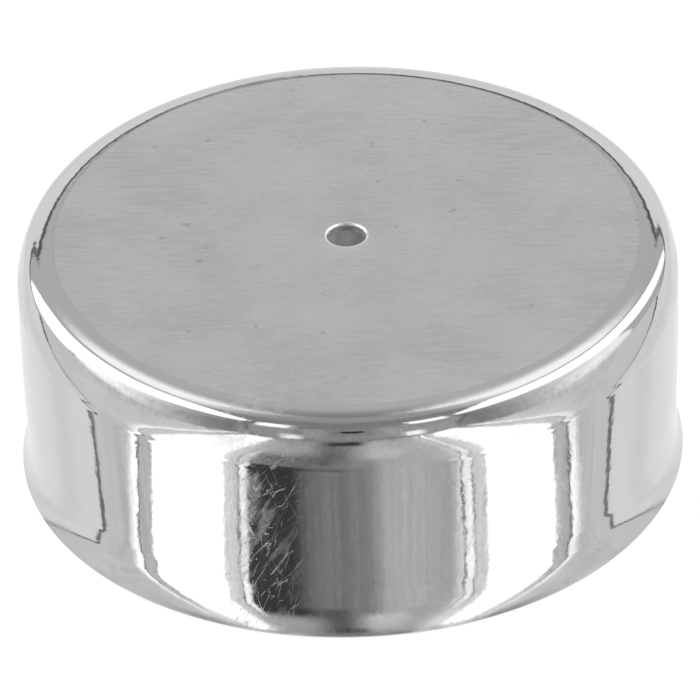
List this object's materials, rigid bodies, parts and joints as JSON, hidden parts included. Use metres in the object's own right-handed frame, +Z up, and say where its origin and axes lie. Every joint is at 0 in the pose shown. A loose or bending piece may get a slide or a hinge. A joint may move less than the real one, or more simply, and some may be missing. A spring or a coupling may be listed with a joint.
{
  "type": "salt shaker lid",
  "caption": "Salt shaker lid drawn from thin steel sheet: shallow crowned top with a central pour hole, rounded shoulder, and a waisted wall that flares to an open mouth.",
  "frame": {"origin": "centre of the mouth, in the plane of the rim that the lid stands on", "axes": "+Z up along the lid's axis, from the mouth out through the pour hole; X and Y are alike, because the lid is round"},
  "size_m": [0.0406, 0.0404, 0.0156],
  "materials": {
    "steel": "stainless sheet: satin mill finish on the top, polished bright on the shoulder and wall, with fine rub marks and scratches"
  },
  "bodies": {
    "root": {"lid": "steel"}
  },
  "joints": []
}
